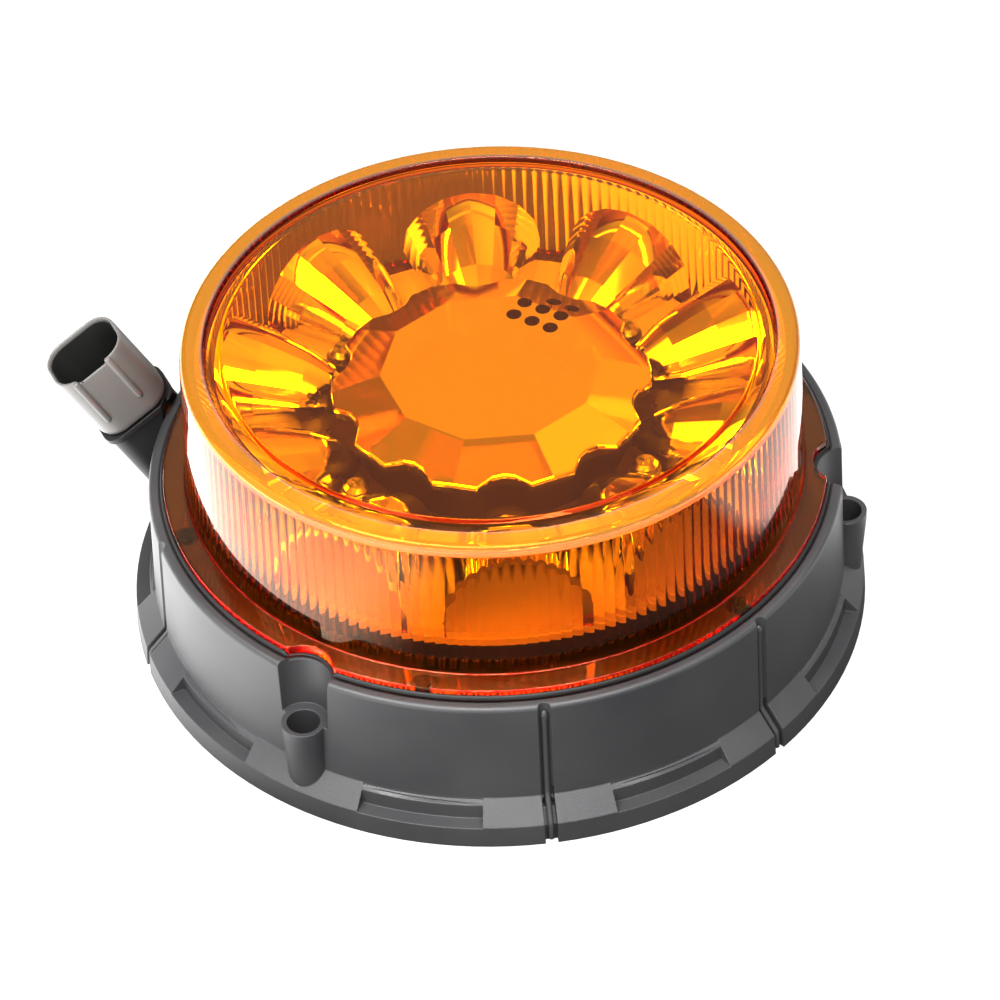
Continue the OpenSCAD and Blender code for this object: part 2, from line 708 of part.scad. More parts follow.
module lead_positive() color([0.75, 0.08, 0.06]) sweep(ease(ease(lead_route(1))), wire_d / 2 - 0.05);
module lead_negative() color([0.05, 0.05, 0.05]) sweep(ease(ease(lead_route(-1))), wire_d / 2 - 0.05);

base_housing();
lens();
lens_gasket();
lens_screws();
heat_spreader();
thermal_pad();
led_board();
leds();
led_domes();
reflector_plate();
reflector_cups();
reflector_cap();
reflector_screws();
post_inserts();
driver_board();
driver_screws();
inductor();
capacitors();
driver_chips();
input_header();
link_header();
lead_positive();
lead_negative();
vent_plug();
connector_boot();
connector_seal();
connector_shell();
connector_wedge();
connector_pins();
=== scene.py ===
"""Looks of the low amber LED warning beacon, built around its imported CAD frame.

Sizes of shapes are in millimetres, and MM takes them into metres. Materials, lights and the
camera's distance are in metres. Angles are in degrees about +Z from +X, as in the CAD.
"""

import json
import math

import bmesh
import bpy
from mathutils import Matrix, Vector

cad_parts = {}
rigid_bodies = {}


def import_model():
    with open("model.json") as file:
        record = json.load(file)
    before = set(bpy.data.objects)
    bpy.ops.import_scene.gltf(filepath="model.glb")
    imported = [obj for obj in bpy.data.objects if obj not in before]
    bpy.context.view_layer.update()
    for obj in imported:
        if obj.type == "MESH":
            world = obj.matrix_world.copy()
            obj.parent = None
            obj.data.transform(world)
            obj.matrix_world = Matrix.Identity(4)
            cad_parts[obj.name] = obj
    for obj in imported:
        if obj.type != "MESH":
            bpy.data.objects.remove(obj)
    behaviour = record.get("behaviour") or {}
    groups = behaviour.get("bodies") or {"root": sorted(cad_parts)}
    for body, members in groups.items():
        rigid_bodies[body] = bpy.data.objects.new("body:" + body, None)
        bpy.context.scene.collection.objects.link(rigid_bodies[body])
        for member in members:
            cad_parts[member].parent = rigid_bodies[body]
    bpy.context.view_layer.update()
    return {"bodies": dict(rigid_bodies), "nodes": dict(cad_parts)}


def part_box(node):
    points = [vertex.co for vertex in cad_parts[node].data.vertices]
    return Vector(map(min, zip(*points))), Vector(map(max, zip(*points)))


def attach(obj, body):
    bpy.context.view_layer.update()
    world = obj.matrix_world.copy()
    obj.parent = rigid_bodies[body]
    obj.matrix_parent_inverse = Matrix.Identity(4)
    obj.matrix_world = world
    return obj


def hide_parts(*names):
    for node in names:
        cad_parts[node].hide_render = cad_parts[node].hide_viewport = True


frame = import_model()

MM = 0.001
BODY = next(iter(frame["bodies"]))
NODES = frame["nodes"]


# ---------- helpers ----------

def direction(az, elevation=0.0):
    """Unit vector towards a direction about Z and an angle above the horizon."""
    e, a = math.radians(elevation), math.radians(az)
    return Vector((math.cos(e) * math.cos(a), math.cos(e) * math.sin(a), math.sin(e)))


def polar(r, deg, z):
    """A point in metres from a radius, a direction and a height in millimetres."""
    a = math.radians(deg)
    return Vector((r * math.cos(a), r * math.sin(a), z)) * MM


def arc(cx, cy, r, start, end, steps):
    """Points of a circular arc in a plane, ends included."""
    pts = []
    for i in range(steps + 1):
        a = math.radians(start + (end - start) * i / steps)
        pts.append((cx + r * math.cos(a), cy + r * math.sin(a)))
    return pts


def revolve(profile, columns, shape):
    """Verts and faces of a profile turned about Z. The profile's ends lie on the axis.

    profile is a list of (r, z, kind), and shape(r, z, kind, deg) gives r and z at a direction.
    """
    verts = [Vector((0, 0, profile[0][1])) * MM]
    for r, z, kind in profile[1:-1]:
        for j in range(columns):
            deg = 360 * j / columns
            shaped_r, shaped_z = shape(r, z, kind, deg)
            verts.append(polar(shaped_r, deg, shaped_z))
    verts.append(Vector((0, 0, profile[-1][1])) * MM)
    rings = len(profile) - 2
    last = len(verts) - 1
    end = last - columns
    faces = []
    for j in range(columns):
        k = (j + 1) % columns
        faces.append((0, 1 + j, 1 + k))
        for i in range(rings - 1):
            a = 1 + i * columns
            b = a + columns
            faces.append((a + j, b + j, b + k, a + k))
        faces.append((end + j, last, end + k))
    return verts, faces


def loft(rings, closed=False):
    """Verts and faces of rings of points, each joined to the next.

    The first and last ring are filled in, or joined to each other if closed.
    """
    around = len(rings[0])
    verts = [point for ring in rings for point in ring]
    faces = []
    for i in range(len(rings) if closed else len(rings) - 1):
        low = i * around
        high = (i + 1) % len(rings) * around
        for k in range(around):
            j = (k + 1) % around
            faces.append((low + k, low + j, high + j, high + k))
    if not closed:
        last = len(verts) - around
        faces.append(tuple(reversed(range(around))))
        faces.append(tuple(last + k for k in range(around)))
    return verts, faces


def joined(parts):
    """One list of verts and one of faces from several pairs of them."""
    verts, faces = [], []
    for part_verts, part_faces in parts:
        base = len(verts)
        verts += part_verts
        faces += [tuple(base + k for k in face) for face in part_faces]
    return verts, faces


def clean_mesh(mesh, sharp):
    """Merges doubles, turns faces outwards, and leaves edges over sharp degrees hard."""
    bm = bmesh.new()
    bm.from_mesh(mesh)
    bmesh.ops.remove_doubles(bm, verts=bm.verts, dist=1e-7)
    bmesh.ops.recalc_face_normals(bm, faces=bm.faces)
    bm.normal_update()
    limit = math.radians(sharp)
    for face in bm.faces:
        face.smooth = True
    for edge in bm.edges:
        edge.smooth = len(edge.link_faces) == 2 and edge.calc_face_angle(0) < limit
    bm.to_mesh(mesh)
    bm.free()


def add_object(name, data):
    """A new object in the scene that holds the data."""
    obj = bpy.data.objects.new(name, data)
    bpy.context.scene.collection.objects.link(obj)
    return obj


def piece(name, shape, material, sharp, replaces=()):
    """A mesh object that rides on the lamp's only body. shape is its verts and faces."""
    verts, faces = shape
    mesh = bpy.data.meshes.new(name)
    mesh.from_pydata(verts, [], faces)
    clean_mesh(mesh, sharp)
    mesh.materials.append(material)
    obj = add_object(name, mesh)
    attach(obj, BODY)
    for node in replaces:
        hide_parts(node)
    return obj


# ---------- material nodes ----------

def new_material(name):
    mat = bpy.data.materials.new(name)
    mat.use_nodes = True
    nodes = mat.node_tree.nodes
    return mat, nodes, mat.node_tree.links, nodes["Principled BSDF"]


def set_inputs(shader, **values):
    """Sets sockets that are the same all over. Underscores stand for spaces in their names."""
    for key, value in values.items():
        shader.inputs[key.replace("_", " ")].default_value = value


def object_place(nodes):
    return nodes.new("ShaderNodeTexCoord").outputs["Object"]


def object_noise(nodes, links, scale, detail, rough):
    """A noise texture in object space. scale is in cells a metre."""
    noise = nodes.new("ShaderNodeTexNoise")
    noise.inputs["Scale"].default_value = scale
    noise.inputs["Detail"].default_value = detail
    noise.inputs["Roughness"].default_value = rough
    links.new(object_place(nodes), noise.inputs["Vector"])
    return noise.outputs["Fac"]


def ramp(nodes, links, source, low, high, start=0.3, full=0.7, smooth=False):
    """Goes from low to high as the source goes from start to full."""
    node = nodes.new("ShaderNodeMapRange")
    if smooth:
        node.interpolation_type = "SMOOTHSTEP"
    node.inputs["From Min"].default_value = start
    node.inputs["From Max"].default_value = full
    node.inputs["To Min"].default_value = low
    node.inputs["To Max"].default_value = high
    links.new(source, node.inputs["Value"])
    return node.outputs["Result"]


def combine(nodes, links, operation, first, second):
    """The sum or product of two values."""
    node = nodes.new("ShaderNodeMath")
    node.operation = operation
    links.new(first, node.inputs[0])
    links.new(second, node.inputs[1])
    return node.outputs["Value"]


def axis_distance(nodes, links, place):
    """Distance of a place from the Z axis."""
    flat = nodes.new("ShaderNodeVectorMath")
    flat.operation = "MULTIPLY"
    flat.inputs[1].default_value = (1, 1, 0)
    links.new(place, flat.inputs[0])
    length = nodes.new("ShaderNodeVectorMath")
    length.operation = "LENGTH"
    links.new(flat.outputs["Vector"], length.inputs[0])
    return length.outputs["Value"]


def colour_mix(nodes, links, share):
    """A mix of two colours by a share, with its colours still to be set."""
    mix = nodes.new("ShaderNodeMix")
    mix.data_type = "RGBA"
    links.new(share, mix.inputs["Factor"])
    return mix


def tint(nodes, links, share, dark, light):
    """Goes from one fixed colour to another as share goes from 0 to 1."""
    mix = colour_mix(nodes, links, share)
    mix.inputs["A"].default_value = (*dark, 1)
    mix.inputs["B"].default_value = (*light, 1)
    return mix.outputs["Result"]


def bump(nodes, links, height, strength, distance, normal=None):
    node = nodes.new("ShaderNodeBump")
    node.inputs["Strength"].default_value = strength
    node.inputs["Distance"].default_value = distance
    links.new(height, node.inputs["Height"])
    if normal:
        links.new(normal, node.inputs["Normal"])
    return node.outputs["Normal"]


# ---------- materials ----------

BLOTCH_SCALE = 45                          # broad patches of gloss, in cells a metre
BLOTCH_ROUGH = 0.05                        # how far roughness strays in them

# Where materials change their look: metres from the lamp's axis, and metres up
PAINTED_GLOW_R = (0.0588, 0.0598)                  # the painted glow on the top corner starts and is full
PAINTED_GLOW_Z = (0.0668, 0.0690)
WALL_R = (0.0575, 0.0610)                  # the top gives way to the wall
WALL_Z = (0.0650, 0.0680)
WARM_R = (0.0560, 0.0575)                  # the warm middle of the top ends
PLATE_SHADE_R = (0.0390, 0.0440)                 # the painted shade on the plate's middle ends


def moulded(name, dark, light, rough, grain=2600, grain_depth=0.00004, specular=0.5, edge=0.0):
    """Moulded plastic or rubber: fine grain, broad blotches of gloss, and softly rounded edges."""
    mat, nodes, links, bsdf = new_material(name)
    set_inputs(bsdf, Specular_IOR_Level=specular)
    grains = object_noise(nodes, links, grain, 3.0, 0.6)
    broad = object_noise(nodes, links, BLOTCH_SCALE, 3.0, 0.5)
    links.new(tint(nodes, links, ramp(nodes, links, broad, 0, 1), dark, light),
              bsdf.inputs["Base Color"])
    links.new(ramp(nodes, links, broad, rough - BLOTCH_ROUGH, rough + BLOTCH_ROUGH),
              bsdf.inputs["Roughness"])
    normal = None
    if edge:
        bevel = nodes.new("ShaderNodeBevel")
        bevel.samples = 6
        bevel.inputs["Radius"].default_value = edge
        normal = bevel.outputs["Normal"]
    links.new(bump(nodes, links, grains, 0.5, grain_depth, normal), bsdf.inputs["Normal"])
    return mat


def metal(name, colour, rough, wave=0.0, scale=60):
    """Metal with slightly uneven gloss. wave is the depth of its gentle waviness in metres."""
    mat, nodes, links, bsdf = new_material(name)
    set_inputs(bsdf, Metallic=1.0, Base_Color=(*colour, 1))
    noise = object_noise(nodes, links, scale, 2.0, 0.5)
    links.new(ramp(nodes, links, noise, rough * 0.7, rough * 1.3), bsdf.inputs["Roughness"])
    if wave:
        links.new(bump(nodes, links, noise, 1.0, wave), bsdf.inputs["Normal"])
    return mat


def amber_glass():
    """Clear polycarbonate that takes most of its colour from the depth the light crosses.

    The thick corner round the top is partly a diffuse orange, a painted glow for the light that
    the wall carries up to it. The middle of the top is a little warmer, and reflections on the top
    are tinted deeper than those on the wall.
    """
    mat, nodes, links, bsdf = new_material("amber_lens")
    set_inputs(bsdf, Roughness=0.01, IOR=1.58)
    place = object_place(nodes)
    radius = axis_distance(nodes, links, place)
    split = nodes.new("ShaderNodeSeparateXYZ")
    links.new(place, split.inputs["Vector"])
    height = split.outputs["Z"]

    # Painted glow: the top corner is partly diffuse orange, standing in for light the wall carries
    # up
    painted_glow = combine(nodes, links, "MULTIPLY", ramp(nodes, links, radius, 0, 1, *PAINTED_GLOW_R),
                   ramp(nodes, links, height, 0, 1, *PAINTED_GLOW_Z))
    wall = combine(nodes, links, "MULTIPLY", ramp(nodes, links, radius, 0, 1, *WALL_R),
                   ramp(nodes, links, height, 1, 0, *WALL_Z))
    links.new(tint(nodes, links, wall, (1.0, 0.32, 0.1), (1.0, 0.62, 0.36)),
              bsdf.inputs["Specular Tint"])
    warm = colour_mix(nodes, links, ramp(nodes, links, radius, 1, 0, *WARM_R))
    links.new(tint(nodes, links, painted_glow, (1, 1, 1), (1.0, 0.45, 0.04)), warm.inputs["A"])
    warm.inputs["B"].default_value = (1.0, 0.94, 0.8, 1)
    links.new(warm.outputs["Result"], bsdf.inputs["Base Color"])
    links.new(ramp(nodes, links, painted_glow, 1.0, 0.8, 0, 1), bsdf.inputs["Transmission Weight"])

    absorb = nodes.new("ShaderNodeVolumeAbsorption")
    absorb.inputs["Color"].default_value = (0.99, 0.862, 0.0, 1)
    absorb.inputs["Density"].default_value = 1500
    links.new(absorb.outputs["Volume"], nodes["Material Output"].inputs["Volume"])
    return mat


def plate_with_painted_shade():
    """White towards the rim and dark near the middle, a painted shade under the cap and among the
    cups.
    """
    mat, nodes, links, bsdf = new_material("white_plate")
    set_inputs(bsdf, Roughness=0.3)
    # Painted shade: the plate darkens towards the middle, among the cups and under the cap
    share = ramp(nodes, links, axis_distance(nodes, links, object_place(nodes)), 0, 1, *PLATE_SHADE_R)
    links.new(tint(nodes, links, share, (0.10, 0.07, 0.05), (0.9, 0.89, 0.86)),
              bsdf.inputs["Base Color"])
    return mat


def clear_silicone():
    mat, _, _, bsdf = new_material("clear_silicone")
    set_inputs(bsdf, Base_Color=(1, 0.95, 0.85, 1), Roughness=0.05, IOR=1.41,
               Transmission_Weight=1.0)
    return mat


charcoal = moulded("charcoal_plastic", (0.032, 0.032, 0.034), (0.044, 0.043, 0.044), 0.46,
                   grain=2200, grain_depth=0.00006, edge=0.0004)
rubber = moulded("black_rubber", (0.010, 0.010, 0.010), (0.016, 0.015, 0.015), 0.5,
                 grain=1500, grain_depth=0.00003, specular=0.4, edge=0.0004)
grey_nylon = moulded("grey_nylon", (0.096, 0.092, 0.087), (0.112, 0.108, 0.102), 0.42,
                     grain=1800, grain_depth=0.00003, edge=0.0003)
# Painted shade: near-black nylon for the sheet inside the connector's mouth
shaded_nylon = moulded("shaded_nylon", (0.006, 0.006, 0.0054), (0.009, 0.009, 0.008), 0.6)
dark_nylon = moulded("dark_nylon", (0.05, 0.05, 0.05), (0.07, 0.07, 0.07), 0.4)
chip_epoxy = moulded("chip_epoxy", (0.02, 0.02, 0.02), (0.03, 0.03, 0.03), 0.5)
ferrite = moulded("ferrite", (0.06, 0.06, 0.065), (0.09, 0.09, 0.095), 0.6)
solder_white = moulded("white_solder_mask", (0.76, 0.75, 0.7), (0.84, 0.83, 0.79), 0.35)
solder_green = moulded("green_solder_mask", (0.01, 0.09, 0.04), (0.015, 0.12, 0.055), 0.3)
sleeve = moulded("capacitor_sleeve", (0.02, 0.02, 0.05), (0.03, 0.03, 0.07), 0.3)
header_nylon = moulded("header_nylon", (0.7, 0.68, 0.6), (0.78, 0.76, 0.68), 0.45)
red_wire = moulded("red_insulation", (0.4, 0.015, 0.012), (0.5, 0.02, 0.02), 0.35)
orange_silicone = moulded("orange_silicone", (0.5, 0.15, 0.03), (0.6, 0.2, 0.04), 0.45)
grey_silicone = moulded("grey_silicone", (0.42, 0.44, 0.48), (0.5, 0.52, 0.56), 0.6)
phosphor = moulded("led_phosphor", (0.42, 0.17, 0.02), (0.5, 0.22, 0.03), 0.4)
# Black anodised for the heat spreader, and also the painted shade below the cap
anodised_and_shade = moulded("black_anodised", (0.012, 0.012, 0.014), (0.02, 0.02, 0.022), 0.35)
mirror = metal("metallised", (0.93, 0.92, 0.9), 0.07, wave=0.00003, scale=70)
steel = metal("steel_screw", (0.62, 0.62, 0.63), 0.25)
black_steel = metal("black_screw", (0.03, 0.03, 0.03), 0.4)
brass = metal("brass", (0.78, 0.58, 0.25), 0.3)
tin = metal("tinned_pin", (0.75, 0.74, 0.7), 0.25)
white_plate = plate_with_painted_shade()
amber = amber_glass()
silicone = clear_silicone()

NODE_MATERIALS = {
    "base_housing": charcoal, "lens_gasket": rubber, "lens_screws": black_steel,
    "heat_spreader": anodised_and_shade, "thermal_pad": grey_silicone, "led_board": solder_white,
    "leds": phosphor, "led_domes": silicone, "reflector_plate": white_plate,
    "reflector_screws": steel, "post_inserts": brass, "driver_board": solder_green,
    "driver_screws": steel, "inductor": ferrite, "capacitors": sleeve,
    "driver_chips": chip_epoxy, "input_header": header_nylon, "link_header": chip_epoxy,
    "lead_positive": red_wire, "lead_negative": rubber, "vent_plug": rubber,
    "connector_boot": rubber, "connector_seal": orange_silicone,
    "connector_wedge": dark_nylon, "connector_pins": tin,
}
for node_name, node_material in NODE_MATERIALS.items():
    node_object = NODES[node_name]
    node_object.data.materials.clear()
    node_object.data.materials.append(node_material)


# ---------- lens ----------

lens_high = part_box("lens")[1]
LENS_TOP = lens_high[2] / MM
FLANGE_R = lens_high[1] / MM
SEAT_Z = 33.2                              # underside of the flange
FLANGE_T = 2.9
FLANGE_ROUND = 0.45
FOOT_R = 65.0                              # outer wall where it meets the flange
TOP_R = 63.8                               # outer wall at the top
CORNER_R = 1.9                             # round of the top corner
WALL_T = 3.0
TOP_T = 2.5
PLATEAU_DROP = 0.3                         # the flat top lies this far under the corner's crest
PLATEAU_MID = 40.0                         # an extra ring of points on the flat top
RING_IN = 55.0                             # ring groove round the top
RING_OUT = 59.3
RING_DEPTH = 1.05
BOLT_R = 73.5
BITE_R = 6.9                               # radius of the cut-outs around the bolt recesses
FLUTES = 172
FLUTE_DEPTH = 0.19
FLUTE_LOW = 38.2
FLUTE_HIGH = 65.0
FLUTE_END_SHARE = 0.7                      # share of the depth at the flutes' lower ends
FLUTE_END_RISE = 0.5
LENS_COLUMNS = FLUTES * 6


def bite(deg):
    """Radius of the flange at a direction, less the cut-outs around the three bolts."""
    off = math.radians((deg + 60) % 120 - 60)
    side = BOLT_R * math.sin(off)
    if abs(side) >= BITE_R:
        return FLANGE_R
    return min(FLANGE_R, BOLT_R * math.cos(off) - math.sqrt(BITE_R ** 2 - side ** 2))


def lens_shape(r, z, kind, deg):
    """Cuts the bolts out of the flange and raises the flutes inwards from the wall."""
    if kind == "flange":
        return r - FLANGE_R + bite(deg), z
    across = (deg * FLUTES / 360) % 1 - 0.5
    crown = 1 - 4 * across * across
    if kind == "flute end":
        share = FLUTE_END_SHARE * crown
        return r - FLUTE_DEPTH * share, z + FLUTE_END_RISE - share
    if kind == "flute":
        return r - FLUTE_DEPTH * crown, z
    return r, z


def marked(points, kind):
    return [(r, z, kind) for r, z in points]


def lens_profile():
    """Profile from the top's centre, down the outside, and back up the inside."""
    top = LENS_TOP
    plateau = top - PLATEAU_DROP
    flange_top = SEAT_Z + FLANGE_T
    outside = [(0, plateau), (PLATEAU_MID, plateau), (RING_IN - 0.4, plateau)]
    outside += arc(RING_IN, plateau - 0.3, 0.3, 90, 30, 3)
    outside += [(RING_IN + 0.8, top - 0.95), (RING_IN + 1.2, top - RING_DEPTH),
                (RING_OUT - 1.3, top - RING_DEPTH), (RING_OUT - 0.8, top - 0.9)]
    outside += arc(RING_OUT, top - 0.4, 0.4, 150, 90, 3)
    outside += arc(TOP_R - CORNER_R, top - CORNER_R, CORNER_R, 90, 3, 8)
    outside += [(FOOT_R - 0.1, flange_top + 0.7)]
    outside += arc(FOOT_R + 0.35, flange_top + FLANGE_ROUND, FLANGE_ROUND, 190, 270, 4)

    flange = arc(FLANGE_R - FLANGE_ROUND, flange_top - FLANGE_ROUND, FLANGE_ROUND, 90, 0, 4)
    flange += [(FLANGE_R, SEAT_Z + 0.2), (FLANGE_R - 0.2, SEAT_Z)]

    foot = FOOT_R - WALL_T - 0.3
    head = TOP_R - WALL_T
    under = top - TOP_T - PLATEAU_DROP
    return (marked(outside, "") + marked(flange, "flange")
            + marked([(foot, SEAT_Z), (foot - 0.2, FLUTE_LOW - 0.3)], "")
            + marked([(foot - 0.22, FLUTE_LOW)], "flute end")
            + marked([(foot - 0.25, FLUTE_LOW + 0.6), (head, FLUTE_HIGH - 0.4)], "flute")
            + marked([(head - 0.1, FLUTE_HIGH + 0.2), (head - 3.0, under - 0.05),
                      (head - 3.5, under), (PLATEAU_MID, under), (0, under)], ""))


piece("lens_amber", revolve(lens_profile(), LENS_COLUMNS, lens_shape), amber, 28,
      ["lens"])


# ---------- reflector cups ----------

CUP_COUNT = 10
CUP_FIRST = 25                             # direction of one cup's middle
CUP_FOCUS = 1.8                            # focal length of the cups' parabola
CUP_START = 31.0                           # radius of the cups' deepest points
CUP_T = 1.2
CUP_FLOOR = 41.5
CUP_AXIS = 45.7                            # height of the parabola's axis
CUP_STRIPS = 8                             # slightly flattened strips across the arch
STRIP_STEPS = 4
STRIP_FLAT = 0.6                           # 0 is a round arch and 1 a polygon
CUP_BREAKS = (0.0, 0.6, 3.2, 8.5, 18.0, 26.0)
BREAK_STEPS = 5
BREAK_FLAT = 0.75                          # 0 is a parabola and 1 straight between the breaks


def cup_radius(depth):
    return math.sqrt(4 * CUP_FOCUS * depth)


def cup_depths():
    """Depths and inner radii along the cup, nearly straight between its breaks."""
    rows = []
    for start, end in zip(CUP_BREAKS, CUP_BREAKS[1:]):
        for i in range(BREAK_STEPS):
            share = i / BREAK_STEPS
            if start == 0:
                share = share ** 2
            depth = start + (end - start) * share
            chord = cup_radius(start) + (cup_radius(end) - cup_radius(start)) * share
            flat = BREAK_FLAT if start > 0 else 0
            rows.append((depth, cup_radius(depth) + (chord - cup_radius(depth)) * flat))
    rows.append((CUP_BREAKS[-1], cup_radius(CUP_BREAKS[-1])))
    return rows


def cup_section(r):
    """Points of the arch of radius r, from one foot over the top to the other."""
    half = math.pi / CUP_STRIPS / 2
    steps = CUP_STRIPS * STRIP_STEPS
    pts = [(-r, CUP_FLOOR)]
    for k in range(steps + 1):
        a = math.pi * k / steps
        off = (k % STRIP_STEPS) / STRIP_STEPS * 2 * half - half
        strip_r = r * (1 + STRIP_FLAT * (math.cos(half) / math.cos(off) - 1))
        pts.append((-strip_r * math.cos(a), CUP_AXIS + strip_r * math.sin(a)))
    pts.append((r, CUP_FLOOR))
    return pts


def cup(centre):
    """Verts and faces of one cup: an outer and an inner skin joined along their edges."""
    inner = cup_depths()
    outer = [(-CUP_T, 0.0)] + [(depth, r + CUP_T) for depth, r in inner]
    along, across = direction(centre), direction(centre + 90)
    around = len(cup_section(1))
    verts, faces = [], []

    def add_skin(skin):
        start = len(verts)
        for depth, r in skin:
            for y, z in cup_section(r):
                spot = along * (CUP_START + depth) + across * y + Vector((0, 0, z))
                verts.append(spot * MM)
        for i in range(len(skin) - 1):
            for k in range(around - 1):
                p = start + i * around + k
                faces.append((p, p + 1, p + around + 1, p + around))
        return start, start + (len(skin) - 1) * around

    outer_start, outer_end = add_skin(outer)
    inner_start, inner_end = add_skin(inner)
    for k in range(around - 1):
        faces.append((outer_end + k, outer_end + k + 1, inner_end + k + 1, inner_end + k))
    for side in (0, around - 1):
        for i in range(len(inner) - 1):
            p = outer_start + (i + 1) * around + side
            q = inner_start + i * around + side
            faces.append((p, p + around, q + around, q))
        faces.append((outer_start + side, outer_start + around + side, inner_start + side))
    return verts, faces


piece("reflector_cups_faceted",
      joined(cup(CUP_FIRST + i * 360 / CUP_COUNT) for i in range(CUP_COUNT)),
      mirror, 3.2, ["reflector_cups"])


# ---------- reflector cap ----------

CAP_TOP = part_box("reflector_cap")[1][2] / MM
CAP_EDGE = 53.6                            # underside of the dome
LOBE_R = 33.2
LOBE_HALF = 8.0                            # half a lobe's width in degrees
NOTCH_R = 30.2
NOTCH_HALF = 4.5
NOTCH_EASE = 0.5
HALF_PITCH = 180 / CUP_COUNT
FACET_SIDE = math.cos(math.radians(HALF_PITCH))
FLAT_R = 23.0                              # to the corners of the flat top
FACET_FALL = 0.38                          # how far the facets drop for each mm outwards
RIM_T = 0.9
# Round of the rim, as steps inwards and down from the facet's outer edge
RIM_STEPS = ((0.12, 0.1), (0.0, 0.35), (0.0, RIM_T), (0.9, RIM_T + 0.1))
SKIRT_R = 28.9
SKIRT_T = 1.2
SKIRT_COLUMNS = 60
SHADE_BAND_IN = 0.85                             # painted shade: a dark band under the scalloped rim
SHADE_BAND_OUT = 0.3
HOLE_D = 3.2
HOLE_PITCH = 4.4
HOLE_AT_R = 21.0
HOLE_AZ = 61.0
HOLE_SIDES = 20
HOLE_REACH = (-6.0, 3.0)                   # heights of the cutter's ends from the flat top


def cap_outline():
    """Radius and direction round the scalloped rim, a lobe over every gap between cups."""
    outline = []
    for i in range(CUP_COUNT):
        gap = CUP_FIRST + (i + 0.5) * 360 / CUP_COUNT
        notch = gap + HALF_PITCH
        outline += [(LOBE_R, gap - LOBE_HALF), (LOBE_R, gap), (LOBE_R, gap + LOBE_HALF),
                    (NOTCH_R + NOTCH_EASE, notch - NOTCH_HALF), (NOTCH_R, notch),
                    (NOTCH_R + NOTCH_EASE, notch + NOTCH_HALF)]
    return outline


def facet_share(deg):
    """Share of a radius that lies square to the facet at a direction."""
    return math.cos(math.radians((deg - CUP_FIRST + HALF_PITCH) % (2 * HALF_PITCH) - HALF_PITCH))


def facet_height(r, deg):
    """Height of the sloping facet at a radius and direction."""
    return CAP_TOP - FACET_FALL * (r * facet_share(deg) - FLAT_R * FACET_SIDE)


def cap():
    """Faceted dome: a ten-sided flat top, ten sloping facets and a rim scalloped in lobes."""
    outline = cap_outline()
    rings = [[(FLAT_R * FACET_SIDE / facet_share(deg), deg, CAP_TOP) for r, deg in outline],
             [(r - 0.4, deg, facet_height(r - 0.4, deg)) for r, deg in outline]]
    for inwards, down in RIM_STEPS:
        rings.append([(r - inwards, deg, facet_height(r, deg) - down) for r, deg in outline])
    rings += [[(r - RIM_STEPS[-1][0], deg, CAP_EDGE) for r, deg in outline],
              [(SKIRT_R - 0.4, deg, CAP_EDGE) for r, deg in outline],
              [(FLAT_R - 2.2, deg, CAP_TOP - 1.5) for r, deg in outline]]
    return loft([[polar(*spot) for spot in ring] for ring in rings])


def drain_holes():
    """Eight upright prisms in a square grid with one corner left out."""
    middle = polar(HOLE_AT_R, HOLE_AZ, CAP_TOP)
    out, across = direction(HOLE_AZ), direction(HOLE_AZ + 90)
    spokes = [direction(360 * k / HOLE_SIDES) * HOLE_D / 2 * MM for k in range(HOLE_SIDES)]
    prisms = []
    for i in (-1, 0, 1):
        for j in (-1, 0, 1):
            if (i, j) != (1, 1):
                centre = middle + (out * i + across * j) * HOLE_PITCH * MM
                prisms.append(loft([[centre + spoke + Vector((0, 0, z * MM)) for spoke in spokes]
                                    for z in HOLE_REACH]))
    return joined(prisms)


def cut(obj, shape):
    """Takes a closed shape out of an object's mesh."""
    verts, faces = shape
    mesh = bpy.data.meshes.new("cutter")
    mesh.from_pydata(verts, [], faces)
    cutter = add_object("cutter", mesh)
    modifier = obj.modifiers.new("cut", "BOOLEAN")
    modifier.object = cutter
    modifier.solver = "EXACT"
    bpy.context.view_layer.update()
    depsgraph = bpy.context.evaluated_depsgraph_get()
    result = bpy.data.meshes.new_from_object(obj.evaluated_get(depsgraph))
    obj.modifiers.remove(modifier)
    obj.data = result
    bpy.data.objects.remove(cutter)


def cap_shade_skirt():
    """Dark upright wall under the cap and a dark band under its rim: painted shade below the dome.
    """
    profile = [(SKIRT_R, CAP_EDGE - 0.05), (SKIRT_R, CUP_FLOOR + 0.4), (SKIRT_R - 0.4, CUP_FLOOR),
               (SKIRT_R - SKIRT_T, CUP_FLOOR), (SKIRT_R - SKIRT_T, CAP_EDGE - 0.05)]
    wall = [[polar(r, 360 * k / SKIRT_COLUMNS, z) for k in range(SKIRT_COLUMNS)]
            for r, z in profile]
    outline = cap_outline()
    # Painted shade: a dark band under the rim's overhang
    shade_band = [[polar(r - inwards, deg, facet_height(r, deg) - RIM_T - 0.05) for r, deg in outline]
            for inwards in (SHADE_BAND_IN, SHADE_BAND_OUT)]
    shade_band += [[polar(r - inwards, deg, CAP_EDGE) for r, deg in outline]
             for inwards in (SHADE_BAND_OUT, SHADE_BAND_IN)]
    return joined([loft(wall, closed=True), loft(shade_band, closed=True)])


cut(piece("reflector_cap_faceted", cap(), mirror, 2, ["reflector_cap"]),
    drain_holes())
# Painted shade: dark pieces below the cap's rim
piece("cap_shade_skirt", cap_shade_skirt(), anodised_and_shade, 30)


# ---------- gasket lip ----------

LIP_FOOT = 34.02                           # just over the top of the base's rim
